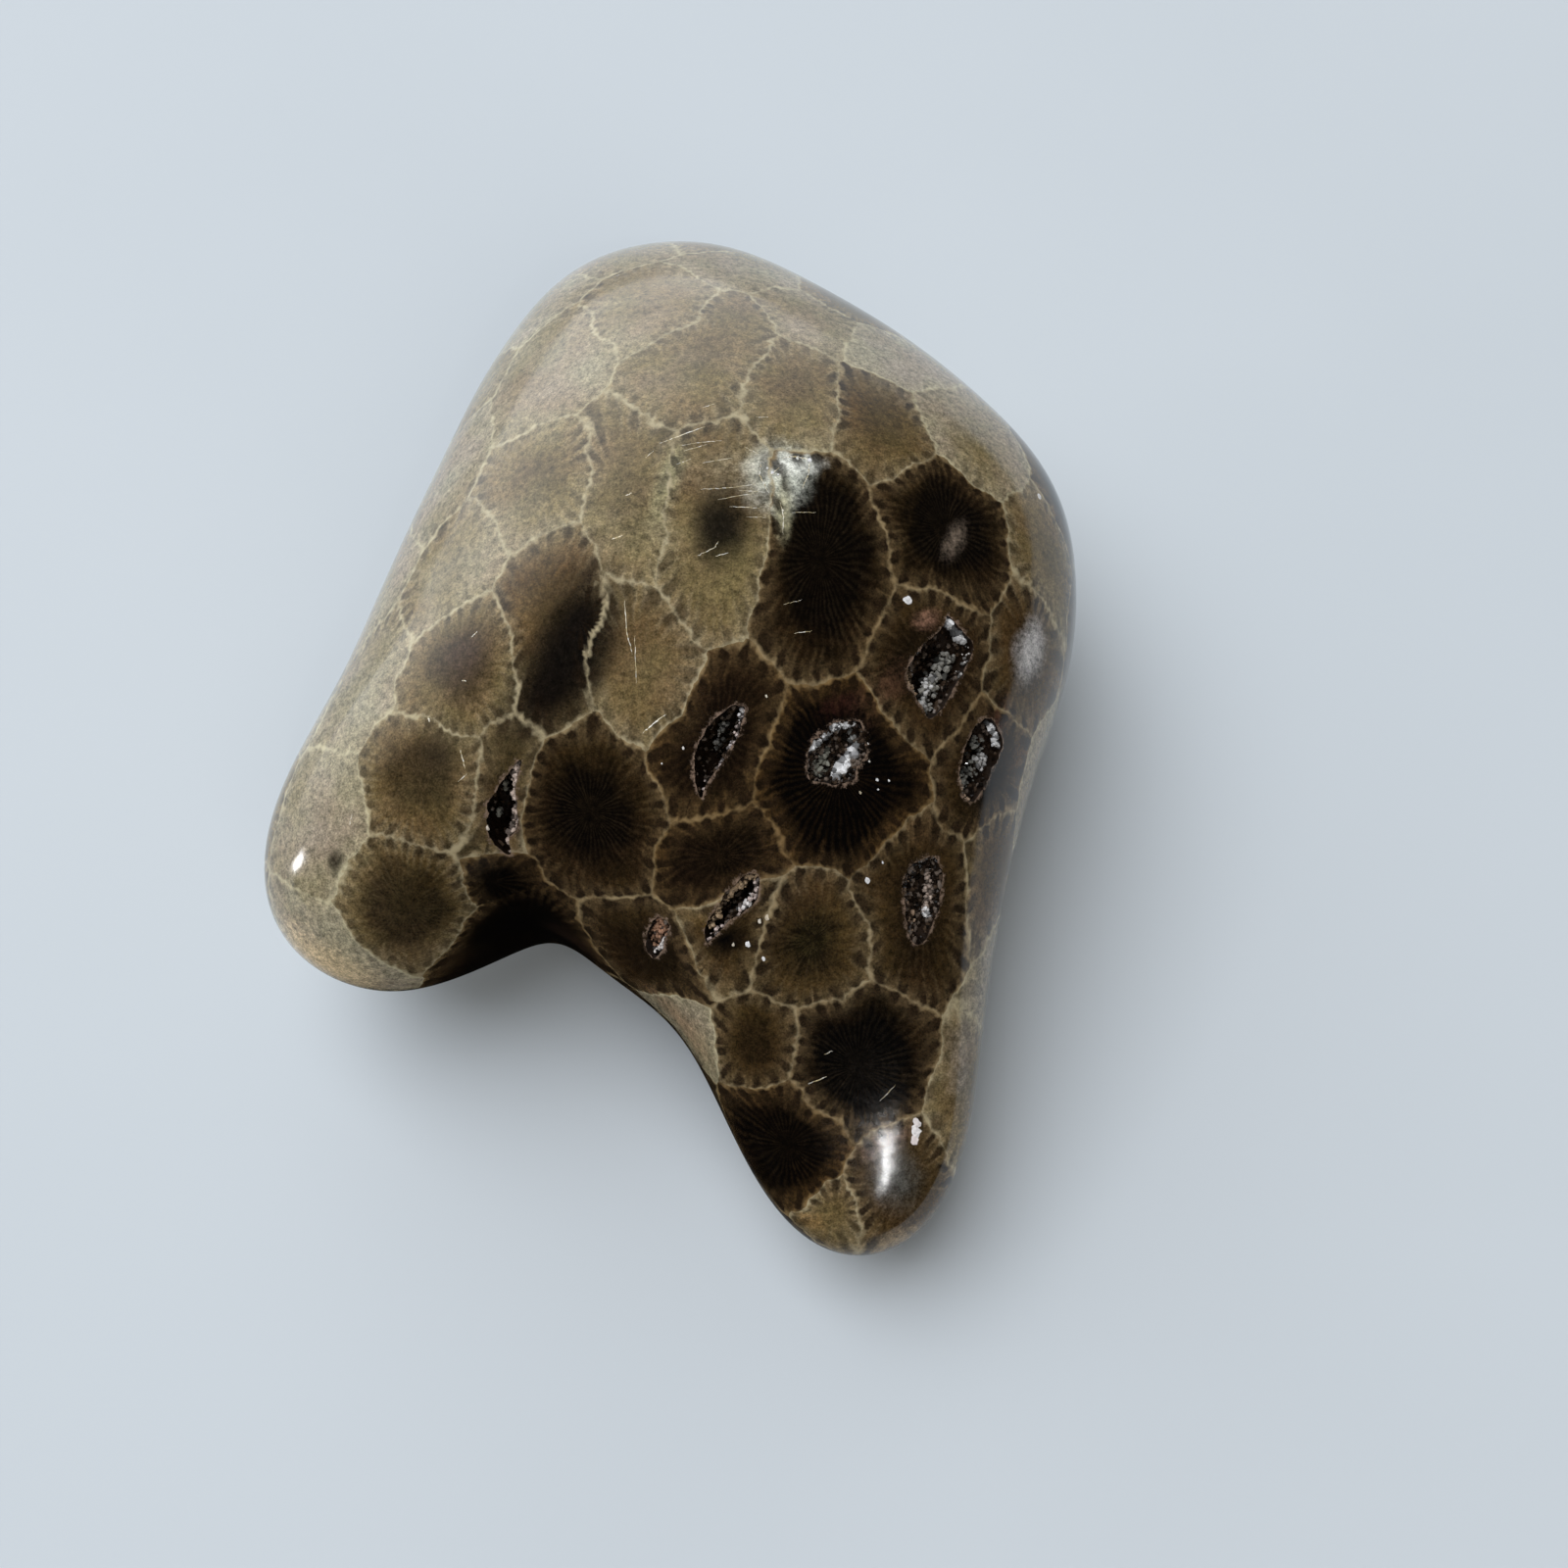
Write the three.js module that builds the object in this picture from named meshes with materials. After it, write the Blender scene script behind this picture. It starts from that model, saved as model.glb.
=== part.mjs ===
// Polished pebble of colonial coral fossil, lying flat: one solid stone.
// Millimetres, +Z up. X runs across the stone, Y along it with the narrow leg
// pointing to -Y. The origin is under the middle of the stone, on the plane
// it rests on.
import * as THREE from 'three';
import { mergeVertices } from 'three/addons/utils/BufferGeometryUtils.js';

// ---- driving dimensions -------------------------------------------------

// Widest outline of the stone seen from above, anticlockwise from the leg's
// tip: right side, broad far end, left side, short left lobe, the bay between
// the lobe and the leg, and back along the leg.
const OUTLINE = [
  [5.6, -28.5], [9.5, -27.0], [11.9, -22.4], [13.7, -16.3], [16.7, -8.5],
  [20.9, 0.6], [21.5, 8.6], [17.7, 16.0], [11.1, 23.1], [4.3, 27.7],
  [-3.0, 27.2], [-8.0, 21.9], [-12.7, 12.7], [-17.5, 2.1], [-21.6, -6.0],
  [-20.6, -11.0], [-15.8, -13.4], [-12.4, -13.0], [-9.6, -11.4],
  [-7.4, -12.0], [-4.6, -14.5], [-1.6, -17.4], [-0.3, -20.0], [1.1, -25.2],
];
const HEART = [0.8, 2.2];        // the point the outline is swept around
const FULLNESS = 2.3;            // 2 is an ellipse in section, more is boxier

// Three height maps over the stone, each a plain level in mm plus smooth
// swellings given as [x, y, reach, amount].
const RIM_HEIGHT = { level: 9.5, swell: [[5.8, -25.8, 12, -5.0], [-19.2, -9.8, 10, -1.0], [1.8, 24.2, 14, 1.0]] };
const CROWN = { level: 9.5, swell: [[1.8, 6.2, 17, 3.4], [5.8, -25.8, 12, -3.1]] };
const BELLY = { level: 10.1, swell: [[5.8, -25.8, 12, -4.6], [-19.2, -9.8, 10, -1.6]] };

const DETAIL = 20;               // splits of each face of the starting ball
const SPREADING = 60;            // rounds that even out the triangles
const TUMBLING = 60;             // rounds of smoothing that keep the size
const SLIDING = 12;              // rounds that slide points along the skin

// ---- the outline as a smooth closed curve -------------------------------

const curve = new THREE.CatmullRomCurve3(
  OUTLINE.map(([x, y]) => new THREE.Vector3(x - HEART[0], y - HEART[1], 0)),
  true, 'centripetal');
const STEPS = 840;
const ring = Array.from({ length: STEPS }, (_, i) => {
  const p = curve.getPoint(i / STEPS);
  return [Math.atan2(p.y, p.x), Math.hypot(p.x, p.y)];
}).sort((a, b) => a[0] - b[0]);

// Distance from the heart to the outline in direction `angle`.
function reach(angle) {
  let low = 0, high = ring.length;
  while (low < high) {
    const mid = (low + high) >> 1;
    if (ring[mid][0] < angle) low = mid + 1; else high = mid;
  }
  const after = ring[low % ring.length];
  const before = ring[(low + ring.length - 1) % ring.length];
  let span = after[0] - before[0], part = angle - before[0];
  if (span < 0) span += 2 * Math.PI;
  if (part < 0) part += 2 * Math.PI;
  return before[1] + (after[1] - before[1]) * (span > 0 ? part / span : 0);
}

function level(map, x, y) {
  let sum = map.level;
  for (const [cx, cy, size, amount] of map.swell) {
    sum += amount * Math.exp(-((x - cx) ** 2 + (y - cy) ** 2) / (size * size));
  }
  return sum;
}

// A direction on the unit ball becomes a point on the stone's skin.
function skinPoint(d) {
  const angle = Math.atan2(d.y, d.x);
  const out = Math.pow(Math.max(0, 1 - d.z * d.z), 1 / FULLNESS);
  const lift = Math.pow(Math.abs(d.z), 2 / FULLNESS);
  const r = reach(angle) * out;
  const x = HEART[0] + r * Math.cos(angle);
  const y = HEART[1] + r * Math.sin(angle);
  const rise = d.z >= 0 ? level(CROWN, x, y) * lift : -level(BELLY, x, y) * lift;
  return new THREE.Vector3(x, y, level(RIM_HEIGHT, x, y) + rise);
}

// ---- the skin -----------------------------------------------------------

const ball = new THREE.IcosahedronGeometry(1, DETAIL);
ball.deleteAttribute('normal');
ball.deleteAttribute('uv');
const skin = mergeVertices(ball, 1e-5);
const place = skin.getAttribute('position');
const index = skin.getIndex();
const count = place.count;

const directions = Array.from({ length: count },
  (_, i) => new THREE.Vector3().fromBufferAttribute(place, i).normalize());

const around = Array.from({ length: count }, () => new Set());
for (let t = 0; t < index.count; t += 3) {
  const [a, b, c] = [index.getX(t), index.getX(t + 1), index.getX(t + 2)];
  around[a].add(b).add(c);
  around[b].add(a).add(c);
  around[c].add(a).add(b);
}
const neighbours = around.map((set) => [...set]);

// Long edges pull harder, so the points spread evenly over the stone.
let points = directions.map(skinPoint);
for (let round = 0; round < SPREADING; round++) {
  const moved = directions.map((d, i) => {
    const pull = new THREE.Vector3();
    let total = 0;
    for (const j of neighbours[i]) {
      const weight = points[i].distanceTo(points[j]);
      pull.addScaledVector(directions[j], weight);
      total += weight;
    }
    return d.clone().lerp(pull.divideScalar(total), 0.7).normalize();
  });
  moved.forEach((d, i) => directions[i].copy(d));
  points = directions.map(skinPoint);
}

function middleOf(i) {
  const sum = new THREE.Vector3();
  for (const j of neighbours[i]) sum.add(points[j]);
  return sum.divideScalar(neighbours[i].length);
}

// Tumbling rounds off creases: one step in, one step out.
for (let round = 0; round < TUMBLING; round++) {
  const step = round % 2 === 0 ? 0.6 : -0.61;
  points = points.map((p, i) => p.clone().lerp(middleOf(i), step));
}

// Sliding evens the triangles without changing the shape.
for (let round = 0; round < SLIDING; round++) {
  points.forEach((p, i) => place.setXYZ(i, p.x, p.y, p.z));
  skin.computeVertexNormals();
  const facing = skin.getAttribute('normal');
  points = points.map((p, i) => {
    const n = new THREE.Vector3().fromBufferAttribute(facing, i);
    const shift = middleOf(i).sub(p);
    return p.clone().add(shift.addScaledVector(n, -shift.dot(n)).multiplyScalar(0.5));
  });
}
skin.deleteAttribute('normal');

// The worn flat underneath: everything below the resting plane is cut level.
points.forEach((p) => { p.z = Math.max(0, p.z); });

// The middle of the stone's box stands over the origin.
const box = new THREE.Box3().setFromPoints(points);
const middle = box.getCenter(new THREE.Vector3());
points.forEach((p, i) => place.setXYZ(i, p.x - middle.x, p.y - middle.y, p.z));
place.needsUpdate = true;
skin.computeVertexNormals();

const stone = new THREE.Mesh(skin, new THREE.MeshStandardMaterial({
  color: 0x5c4a35, roughness: 0.2, metalness: 0,
}));
stone.name = 'polished_coral_stone';

const part = new THREE.Group();
part.name = 'coral_fossil';
part.add(stone);

export default part;
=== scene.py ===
"""A polished pebble of fossil honeycomb coral, lying on a plain pale floor.

The stone is grey-brown limestone in which every coral cup is cut across: a thin
tan wall, a fringe of fine partitions running inwards, and a dark middle. Some
cups are hollow in the middle and lined with small quartz crystals. Lengths in
the tables are millimetres; the stone itself is in metres, as the frame is.
"""
import random
from functools import partial
from math import cos, dist, pi, radians, sin, sqrt

import bpy
import numpy as np
from mathutils import Matrix, Vector, noise
from mathutils.bvhtree import BVHTree


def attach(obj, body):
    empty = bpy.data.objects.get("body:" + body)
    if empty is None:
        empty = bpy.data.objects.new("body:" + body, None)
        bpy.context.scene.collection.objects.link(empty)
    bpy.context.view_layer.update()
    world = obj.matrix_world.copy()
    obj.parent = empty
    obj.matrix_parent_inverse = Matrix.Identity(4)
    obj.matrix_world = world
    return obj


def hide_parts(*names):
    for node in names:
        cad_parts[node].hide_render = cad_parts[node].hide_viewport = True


MM = 0.001

# Settings that many nodes share.
TIMES = {"operation": "MULTIPLY"}
TIMES_PLUS = {"operation": "MULTIPLY_ADD"}
MINUS = {"operation": "SUBTRACT"}
DOT = {"operation": "DOT_PRODUCT"}
COLOURS = {"data_type": "RGBA"}
SOFT_ENDS = {"interpolation_type": "SMOOTHSTEP"}

# What doesn't see a card that is there for the polish only.
UNSEEN = ["camera", "diffuse", "transmission", "volume_scatter"]

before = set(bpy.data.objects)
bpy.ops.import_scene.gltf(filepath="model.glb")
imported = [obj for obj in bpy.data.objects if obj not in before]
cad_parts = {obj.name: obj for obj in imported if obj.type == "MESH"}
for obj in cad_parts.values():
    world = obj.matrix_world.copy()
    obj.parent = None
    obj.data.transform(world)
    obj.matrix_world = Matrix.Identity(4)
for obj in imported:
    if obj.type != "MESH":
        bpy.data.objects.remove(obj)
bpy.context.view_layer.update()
rough_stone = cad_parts["polished_coral_stone"]

# Coral cups on the upper face, in millimetres from the stone's middle:
# x, y, half width, way it is drawn out in degrees, length over width,
# brown (0 pale greige, 1 dark brown), how black its middle is, how far the
# black reaches towards the wall, and, where the black leans to one side, which
# way in degrees and how much.
CUPS = [
    (0.8, 16.9, 3.0, 75, 1.25, .20, .12, .30),
    (-0.5, 24.0, 2.6, 20, 1.3, .12, .10, .30),
    (3.4, 12.2, 2.7, 45, 1.45, .28, .25, .40),
    (7.7, 10.0, 2.2, 95, 1.5, .27, .25, .40),
    (11.6, 8.2, 2.4, 80, 1.3, .47, .35, .50),
    (16.5, 9.3, 3.0, 90, 1.1, .10, .12, .40),
    (9.2, 16.6, 2.5, 60, 1.2, .14, .04, .40),
    (13.4, 14.2, 2.6, 120, 1.2, .0, .0, .40),
    (-4.3, 14.2, 3.4, 90, 1.2, .18, .08, .30),
    (-5.0, 20.8, 2.8, 60, 1.2, .06, .05, .30),
    (-10.3, 10.6, 2.5, 60, 1.5, .08, .05, .30),
    (-4.9, 6.4, 2.9, 100, 1.1, .24, .30, .50),
    (-0.7, 4.2, 1.9, 100, 2.2, .27, .30, .50),
    (3.2, 1.7, 2.7, 82, 1.6, .34, .78, .40, 60, .3),
    (7.7, 0.2, 2.9, 80, 1.7, .80, .95, .78, 60, .2),
    (13.9, 2.4, 3.2, 100, 1.1, .81, .95, .75),
    (19.3, 2.5, 2.3, 90, 1.5, .34, .30, .40),
    (-9.9, 3.0, 2.4, 30, 1.3, .20, .14, .30),
    (-4.9, -1.2, 2.1, 78, 2.0, .44, .25, .45, 20, .3),
    (-1.0, -3.6, 2.1, 112, 1.65, .36, .15, .30),
    (-9.3, -2.3, 3.0, 0, 1.0, .36, .62, .60, 100, .2),
    (-14.4, -0.3, 2.2, 60, 1.6, .12, .10, .30),
    (-11.7, -6.8, 2.8, 0, 1.1, .38, .62, .60, 70, .4),
    (-17.2, -7.0, 2.5, 60, 1.2, .10, .06, .30),
    (-18.6, -11.9, 2.3, 120, 1.2, .03, .03, .30),
    (-13.4, -11.4, 2.9, 90, 1.1, .40, .74, .70),
    (-8.1, -7.7, 1.4, 75, 2.0, .40, .60, .60),
    (-4.1, -9.0, 3.1, 90, 1.05, .81, .95, .65),
    (-8.8, -12.0, 2.7, 0, 1.2, .90, 1.0, .80),
    (2.2, -7.4, 2.2, 60, 1.5, .92, .70, .60),
    (1.6, -12.0, 1.8, 10, 1.3, .92, .60, .60),
    (1.6, -14.9, 1.4, 50, 1.7, .54, .60, .60),
    (-2.2, -14.7, 1.6, 150, 1.5, .82, .60, .60),
    (7.3, -9.1, 3.4, 110, 1.1, 1.0, 1.0, .92),
    (12.1, -4.0, 2.5, 60, 1.4, .75, .72, .60),
    (17.6, -2.1, 2.0, 75, 1.6, .54, .45, .50),
    (17.8, -7.6, 1.5, 75, 1.6, .12, .05, .40),
    (14.4, -8.6, 2.1, 60, 1.3, .78, .80, .60),
    (10.2, -14.4, 2.6, 100, 1.3, .73, .70, .60),
    (14.0, -12.5, 1.5, 90, 1.8, .50, .30, .50),
    (5.2, -15.6, 2.3, 90, 1.15, .65, .85, .45),
    (-0.8, -17.9, 1.2, 0, 1.2, .10, .12, .50),
    (1.9, -19.3, 1.8, 0, 1.0, .68, .70, .60),
    (6.6, -20.6, 2.9, 95, 1.1, .82, 1.0, .82),
    (2.9, -23.4, 2.3, 110, 1.25, .93, .95, .75),
    (7.8, -25.6, 2.4, 60, 1.1, .60, .25, .60),
    (11.8, -21.5, 1.7, 100, 2.0, .32, .20, .40),
    (13.3, -17.2, 1.6, 90, 1.6, .18, .20, .40),
    (4.6, -28.0, 1.4, 0, 1.0, .40, .10, .40),
]

# A cup that isn't one oval has a further lobe: x, y and half width in
# millimetres, the cup it belongs to, counted from 0, and how high the skin is
# there, in millimetres, where the lobe hangs under the stone's edge.
# The last lobe, under the edge, carries cup 28's black down the bay's wall: partly the cup's own black,
# partly painted shade of the bay.
LOBES = [(5.4, 15.6, 1.7, 2, 10), (-3.4, -1.5, 1.7, 18, 10), (-9.4, -10.6, 1.3, 28, 10),
         (-9.5, -13.5, 2.0, 28, 6.5)]

# Open hollows in the cups' middles: depth in millimetres, how many dark
# crystals line them, and the outline, as x, y in millimetres.
HOLLOWS = [
    (1.5, 150, [(3.5, -6.3), (3.0, -6.2), (2.2, -6.6), (1.6, -7.1), (1.1, -7.8), (0.9, -8.6), (1.0, -9.4),
      (1.1, -9.7), (1.3, -9.3), (1.8, -8.8), (2.4, -8.2), (2.9, -7.6), (3.3, -6.9)]),
    (2.0, 90, [(-7.0, -6.7), (-7.4, -7.0), (-8.1, -7.6), (-8.6, -8.0), (-8.9, -8.7), (-8.9, -9.3),
      (-8.6, -9.7), (-8.2, -9.8), (-8.1, -9.3), (-7.6, -9.0), (-7.5, -8.4), (-7.4, -7.8), (-7.2, -7.3),
      (-6.9, -6.8)]),
    (0.7, 520, [(6.0, -8.5), (6.2, -8.0), (6.7, -7.5), (7.4, -7.1), (8.4, -6.9), (8.7, -7.5), (8.7, -8.3),
      (8.2, -8.8), (8.0, -9.4), (7.2, -9.6), (6.3, -9.5), (5.9, -9.0)]),
    (1.5, 320, [(13.4, -1.9), (14.2, -2.7), (14.3, -3.4), (13.6, -4.5), (13.0, -5.4), (12.0, -6.5),
      (11.5, -6.1), (11.0, -5.1), (11.3, -4.2), (12.2, -3.3), (13.1, -2.4)]),
    (1.2, 220, [(14.4, -6.3), (15.1, -6.2), (15.3, -7.1), (14.7, -8.2), (14.0, -9.3), (13.3, -9.9),
      (12.9, -9.2), (13.2, -8.1), (13.8, -7.0)]),
    (0.6, 330, [(11.3, -12.4), (10.5, -12.6), (9.8, -13.2), (9.6, -14.1), (9.6, -15.2), (9.9, -15.9),
      (10.5, -15.6), (11.1, -14.6), (11.4, -13.7), (11.5, -12.9)]),
    (1.0, 150, [(3.1, -12.9), (2.4, -13.0), (1.4, -13.6), (1.0, -14.0), (0.5, -14.5), (0.4, -15.1),
      (0.9, -14.9), (1.6, -14.5), (2.4, -14.2), (2.9, -13.9), (3.1, -13.4)]),
    (0.5, 60, [(-1.3, -13.8), (-1.8, -13.5), (-2.3, -13.8), (-2.5, -14.3), (-2.2, -14.8), (-1.7, -14.7),
      (-1.3, -14.3)]),
]

# Runs of bright crystals, the white ones partly pale crystal and partly painted
# glints: how far they stray from the run and how deep they stand (both mm), how
# many, their size in mm, tint, and the run as x, y in mm.
SEAMS_AND_GLINTS = [
    (.10, .10, 60, .11, "#D9C8C0", [(3.5, -6.4), (3.25, -7.0), (2.85, -7.7), (2.4, -8.3), (1.8, -8.9),
      (1.3, -9.4)]),
    (.14, .16, 14, .12, "#F4F1F0", [(3.4, -6.3), (3.2, -6.8)]),
    (.10, .22, 16, .11, "#E9DEDA", [(2.85, -7.7), (2.5, -8.1)]),
    (.12, .60, 26, .12, "#8E8C86", [(2.6, -6.8), (2.2, -7.2), (1.9, -7.8)]),
    (.10, .03, 110, .15, "#E2CDBE", [(-7.1, -6.8), (-7.3, -7.4), (-7.45, -7.9), (-7.55, -8.5),
      (-7.7, -9.0), (-8.1, -9.4), (-8.2, -9.7)]),
    (.06, .10, 18, .12, "#F2E9E4", [(-7.5, -8.6), (-7.65, -9.05), (-7.95, -9.35)]),
    (.06, .70, 6, .16, "#9C9A90", [(-8.35, -8.65), (-8.45, -8.8)]),
    (.05, .70, 5, .14, "#86847A", [(-7.95, -7.6), (-7.9, -7.8)]),
    (.11, .01, 110, .16, "#FFFFFF", [(6.2, -8.15), (6.6, -7.75), (7.1, -7.35), (7.6, -7.1), (8.3, -7.0)]),
    # A painted highlight: white crystals laid along the glint's streak across the third hollow.
    (.15, .14, 52, .27, "#FFFFFF", [(8.35, -8.2), (7.9, -8.6), (7.5, -8.95), (7.25, -9.35)]),
    (.30, .30, 60, .13, "#B9B9B4", [(8.5, -7.2), (8.6, -8.4), (8.1, -9.2)]),
    (.25, .40, 60, .13, "#97968A", [(6.4, -8.6), (6.3, -9.2), (7.0, -8.2)]),
    (.15, .05, 14, .12, "#CFCBC4", [(8.9, -8.2), (9.1, -8.9), (9.0, -9.4)]),
    (.11, .02, 50, .22, "#FFFFFF", [(13.45, -1.95), (13.8, -2.35), (14.15, -2.8)]),
    (.18, .06, 14, .09, "#DAD6D0", [(14.2, -2.9), (14.25, -3.4), (14.0, -4.0), (13.6, -4.4)]),
    (.28, .55, 120, .14, "#A9A79F", [(13.6, -3.4), (13.1, -4.1), (12.5, -4.9), (12.1, -5.7), (11.9, -6.3)]),
    (.14, .45, 26, .16, "#E6E5E2", [(12.7, -4.6), (12.2, -5.2), (12.0, -5.9)]),
    (.16, .12, 54, .12, "#A88E74", [(11.2, -4.4), (11.1, -5.1), (11.4, -5.9)]),
    (.10, .05, 44, .13, "#FFFFFF", [(15.0, -6.3), (15.2, -6.7), (15.25, -7.1)]),
    (.16, .35, 30, .14, "#DEDCDA", [(14.7, -7.6), (14.5, -8.2)]),
    (.25, .40, 60, .12, "#8E8D86", [(14.6, -7.0), (14.2, -7.8), (13.7, -8.7), (13.4, -9.4)]),
    (.08, .06, 26, .10, "#C9AE94", [(13.0, -9.0), (13.2, -9.7), (13.5, -9.9)]),
    (.08, .03, 26, .11, "#F1E6DD", [(10.5, -12.6), (10.9, -12.4), (11.3, -12.5)]),
    (.20, .15, 70, .12, "#A88F78", [(9.8, -13.3), (9.6, -14.2), (9.7, -15.1), (9.9, -15.8)]),
    (.16, .25, 50, .13, "#CDB9AA", [(11.1, -13.0), (11.0, -13.9), (10.8, -14.7)]),
    (.08, .10, 10, .17, "#F4F2F0", [(10.75, -14.5), (10.7, -14.9)]),
    (.15, .04, 96, .13, "#B99F80", [(3.1, -12.9), (2.4, -13.15), (1.65, -13.6), (1.1, -13.95),
      (0.6, -14.6)]),
    (.10, .06, 60, .12, "#E2CFC6", [(3.05, -13.2), (2.9, -13.8), (2.3, -14.2), (1.6, -14.5), (0.9, -14.9),
      (0.4, -15.1)]),
    (.10, .05, 16, .14, "#F7F2EE", [(2.9, -13.7), (2.3, -14.1), (1.9, -14.3)]),
    (.35, .12, 110, .11, "#B98F74", [(-1.5, -14.0), (-1.9, -14.1), (-2.0, -13.9)]),
    (.08, .05, 26, .12, "#F0E8E2", [(-2.3, -14.6), (-1.9, -14.6), (-1.5, -14.4)]),
]

# Stains and clouded patches, and two painted reflections: x, y, half length,
# half width (mm), way it runs in degrees, colour, and how strongly it covers.
STAINS_AND_REFLECTIONS = [
    (-3.5, -1.8, 3.5, 2.0, 66, "#130F0B", 1.0), (-5.2, -4.1, 4.0, 1.9, 45, "#17110C", 1.0),
    (-4.2, -3.0, 2.8, 2.0, 60, "#130F0B", 1.0), (-9.0, -1.9, 2.2, 1.8, 40, "#4A3A34", .55),
    (-10.6, -5.6, 2.1, 1.7, 60, "#2A241D", .60), (3.5, 1.9, 2.3, 1.7, 70, "#1C1811", .95),
    (6.35, 4.5, 2.1, 1.6, 70, "#D6D9CB", 1.0), (6.8, 5.15, 2.0, 0.7, 4, "#E6E8DF", .95),
    (6.3, 2.7, 1.9, 0.5, 84, "#B5B08E", .80), (4.6, 5.2, 3.2, 1.4, 10, "#A9A288", .35),
    # The pale grey patch at 17.5, -2.5 is partly painted reflection: the floor beyond the right rim,
    # mirrored over the cup's own mottle.
    (17.5, -2.5, 2.0, 1.3, 68, "#C2BEBB", .85), (14.3, 1.9, 1.5, 0.6, 54, "#8A7A6A", .65),
    (-16.5, -9.0, 0.75, 0.6, 60, "#17110C", .90), (3.4, -26.6, 1.0, 0.7, 20, "#A5824F", .60),
    (-8.9, -11.9, 2.6, 2.0, 0, "#060403", 1.0), (7.4, -23.8, 2.4, 0.6, 20, "#7A5850", .45),
    # The grey patch at 7.7, -25.4 is a painted reflection: the soft glow round the lamp's glint on the leg's
    # tip.
    (7.7, -25.4, 2.0, 1.5, 100, "#5C5F5D", .55), (6.8, -28.0, 3.0, 0.9, 10, "#A08A66", .65),
    (12.3, -2.2, 0.9, 0.6, 20, "#A47C66", .60), (15.4, -5.8, 1.4, 1.0, 60, "#45261E", .60),
    (1.2, 4.6, 3.0, 0.7, 68, "#A39F78", .60), (0.9, 1.5, 2.0, 0.6, 95, "#A59C78", .40),
    (5.2, -15.4, 2.4, 2.0, 90, "#4C441F", .25), (1.35, -15.2, 1.3, 0.75, 20, "#060403", 1.0),
    (3.4, -0.8, 1.9, 1.5, 60, "#756A42", .35), (13.6, -16.8, 4.4, 1.3, 102, "#918A7E", .50),
    (12.2, -21.5, 2.8, 1.1, 108, "#8C8680", .45), (-18.8, -12.2, 3.4, 2.8, 120, "#E6CCA2", .95),
    (9.8, -5.6, 2.2, 1.1, 50, "#6A4C3A", .45), (7.8, -6.2, 1.6, 0.7, 20, "#3A2019", .50),
    (16.6, -6.6, 2.2, 0.8, 75, "#7A5A3C", .45), (10.6, -11.2, 2.4, 1.0, 20, "#6A5236", .40),
    (-2.4, -16.4, 2.0, 1.0, 140, "#5A3D2A", .50), (-1.4, -18.0, 2.6, 1.3, 110, "#A68C6E", .60),
    (-6.3, -13.2, 2.0, 0.9, 150, "#34241A", .60), (13.0, 12.0, 5.0, 2.4, 130, "#8E897C", .35),
    (-0.5, 0.6, 1.6, 1.0, 90, "#8C7F5A", .35),
]

# Tiny white chips in the polish, and one painted glint: x, y and half width in mm, and their colour.
CHIPS_AND_GLINT = [
    (11.5, -1.4, .27, "#FFFFFF"), (9.0, -23.15, .28, "#FBF3F0"), (8.9, -23.5, .34, "#FFFAF8"),
    # The fleck at 19.5, 6.2 is a painted glint: the small highlight on the upper right edge.
    (8.8, -23.85, .28, "#F6EAE6"), (19.5, 6.2, .20, "#F4F2F0"), (8.0, -13.4, .17, "#FFFFFF"),
    (3.3, -14.6, .15, "#E8D9C0"), (2.3, -15.5, .15, "#FFFFFF"), (2.9, -16.1, .12, "#FFFFFF"),
    (9.0, -9.38, .09, "#FFFFFF"), (9.54, -9.4, .07, "#FFFFFF"), (8.99, -9.78, .06, "#FFFFFF"),
    (8.17, -9.92, .08, "#CFC2A6"), (8.75, -8.63, .06, "#E8E4DC"), (8.8, -7.89, .05, "#E8E4DC"),
    (7.86, 5.38, .14, "#FFFFFF"), (6.05, 4.62, .11, "#FFFFFF"), (5.85, 4.86, .08, "#F6F6F0"),
    (6.3, 4.5, .07, "#FFFFFF"), (7.3, 5.42, .09, "#F2F3EC"), (6.3, 2.6, .07, "#EFEBD8"),
    (2.95, -14.7, .12, "#F0E7D6"), (1.63, -15.4, .10, "#E9DFCB"), (-0.5, -8.0, .05, "#FFFFFF"),
    (4.5, -5.9, .09, "#E3DCC8"), (0.55, -7.6, .08, "#F3EFE8"), (8.8, -12.7, .06, "#FFFFFF"),
    (-8.95, -8.95, .10, "#EFE3D2"),
]

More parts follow.
